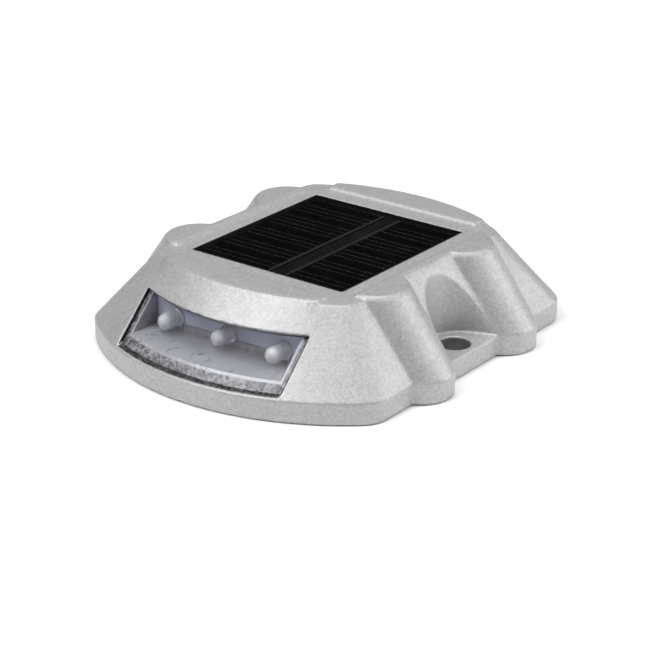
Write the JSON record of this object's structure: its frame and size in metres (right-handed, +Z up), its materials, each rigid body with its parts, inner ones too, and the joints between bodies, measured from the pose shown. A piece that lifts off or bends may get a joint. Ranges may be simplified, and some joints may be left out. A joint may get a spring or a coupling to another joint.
{
  "type": "raised pavement marker",
  "caption": "Low cast-aluminium solar road stud with sloped sides, an LED window at each end, a solar panel in the top and a bolt hole in a scooped lug on each side.",
  "frame": {"origin": "centre of the underside, midway between the two bolt holes, on the road surface", "axes": "+X towards one bolt lug, +Y towards one LED window, +Z up out of the road"},
  "size_m": [0.1178, 0.1372, 0.0287],
  "materials": {
    "cast_aluminium": "sand-textured silver casting",
    "clear_resin": "clear gloss",
    "silicon": "near-black with fine silver grid lines",
    "ribbon": "tinned ribbon",
    "circuit_board": "satin solder mask",
    "led_board": "pale solder mask",
    "panel_board": "satin black",
    "black_sealant": "matt",
    "grey_sealant": "glossy speckled dark grey",
    "clear_lens": "clear moulded plastic",
    "tray_plastic": "satin pale grey",
    "led_epoxy": "water-clear epoxy",
    "lead_metal": "tinned",
    "cover_plastic": "fine moulded texture",
    "gasket_rubber": "matt",
    "screw_steel": "zinc-plated",
    "adhesive": "matt",
    "cell_core": "electrode roll",
    "cell_steel": "nickel-plated",
    "cell_sleeve": "heat-shrink film",
    "foam": "closed-cell foam",
    "chip_plastic": "matt moulding compound",
    "ferrite": "dull ferrite",
    "copper": "enamelled copper",
    "capacitor_sleeve": "shrink film",
    "ceramic": "glazed ceramic",
    "button_rubber": "soft-touch silicone",
    "wire_red": "insulated wire",
    "wire_black": "insulated wire"
  },
  "bodies": {
    "stud": {"base_cover": "cover_plastic", "base_gasket": "gasket_rubber", "battery_can": "cell_steel", "battery_cap": "cell_steel", "battery_core": "cell_core", "battery_pad": "foam", "battery_sleeve": "cell_sleeve", "battery_tabs": "cell_steel", "battery_wire_black": "wire_black", "battery_wire_red": "wire_red", "board_screws": "screw_steel", "capacitor": "capacitor_sleeve", "chip_legs": "lead_metal", "controller_chip": "chip_plastic", "cover_screws": "screw_steel", "diode": "chip_plastic", "diode_legs": "lead_metal", "front_led_board": "led_board", "front_led_frames": "lead_metal", "front_led_wire_black": "wire_black", "front_led_wire_red": "wire_red", "front_leds": "led_epoxy", "front_lens": "clear_lens", "front_lens_sealant": "grey_sealant", "front_light_tray": "tray_plastic", "housing": "cast_aluminium", "inductor_core": "ferrite", "inductor_winding": "copper", "main_board": "circuit_board", "panel_adhesive": "adhesive", "panel_board": "panel_board", "panel_busbars": "ribbon", "panel_cover": "clear_resin", "panel_sealant": "black_sealant", "panel_wire_black": "wire_black", "panel_wire_red": "wire_red", "rear_led_board": "led_board", "rear_led_frames": "lead_metal", "rear_led_wire_black": "wire_black", "rear_led_wire_red": "wire_red", "rear_leds": "led_epoxy", "rear_lens": "clear_lens", "rear_lens_sealant": "grey_sealant", "rear_light_tray": "tray_plastic", "resistors": "ceramic", "solar_cells": "silicon", "switch_body": "chip_plastic", "switch_seal": "gasket_rubber", "switch_spring": "screw_steel", "transistor": "chip_plastic", "transistor_legs": "lead_metal"},
    "button": {"switch_button": "button_rubber"}
  },
  "joints": [
    {"name": "button_press", "type": "slide", "parent": "stud", "child": "button", "axis": [0, 0, 1], "range_m": [0, 0.0012], "stiffness_N_per_m": 1500, "springref_m": -0.0004, "deforming": ["switch_spring"]}
  ]
}
